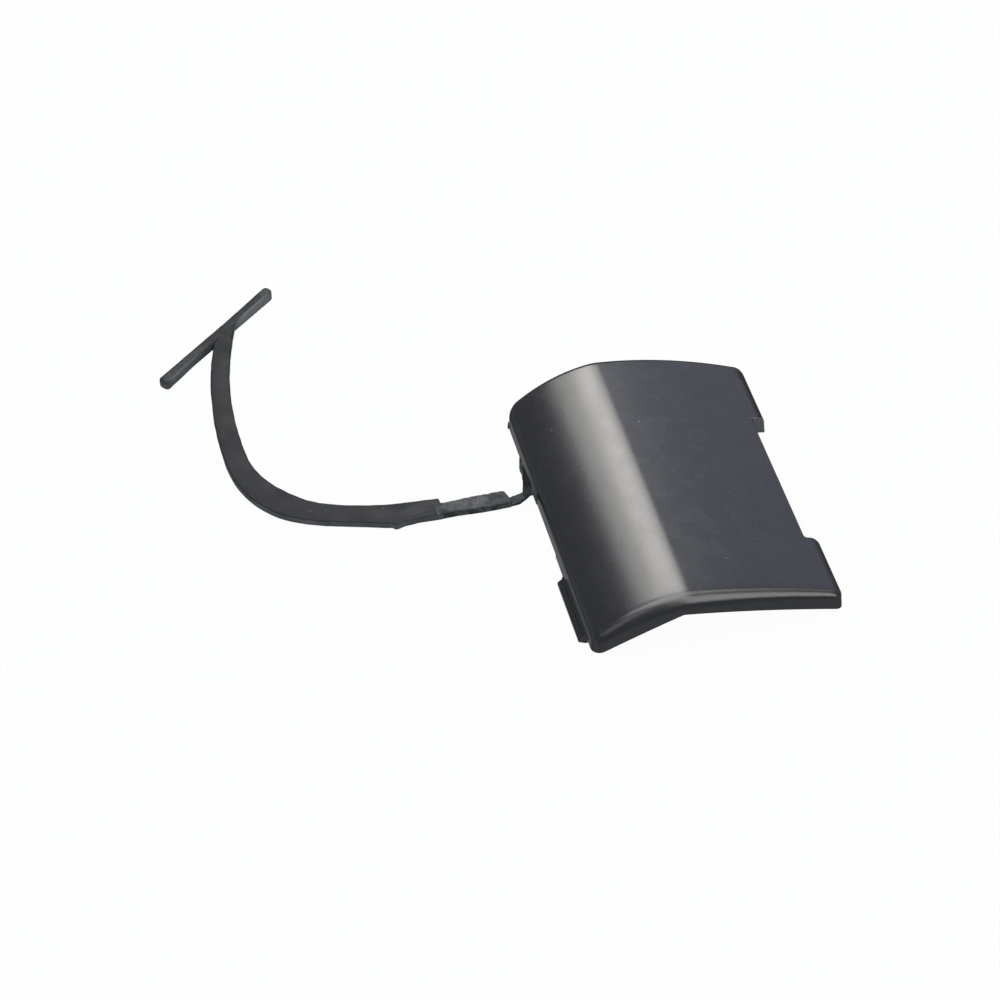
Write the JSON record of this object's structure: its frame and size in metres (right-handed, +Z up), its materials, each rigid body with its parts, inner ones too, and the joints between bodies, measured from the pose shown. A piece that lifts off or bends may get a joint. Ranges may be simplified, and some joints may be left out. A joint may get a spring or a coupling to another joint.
{
  "type": "bumper tow hook cover",
  "caption": "Bent rectangular cap with a rounded ridge, rounded edges and clip legs, on a flat hooked tether strap that ends in a cross-bar. Closes a tow eye opening.",
  "frame": {"origin": "middle of the footprint of the whole part, cover and tether, in the plane of the surface that it lies on", "axes": "+X across the cover from the tether's side to the notched edge, +Y along the cover's ridge towards its bowed back end, +Z up out of the surface that it lies on"},
  "size_m": [0.1326, 0.1326, 0.0158],
  "materials": {
    "black_plastic": "satin moulded"
  },
  "bodies": {
    "root": {"tow_hook_cover": "black_plastic"}
  },
  "joints": []
}
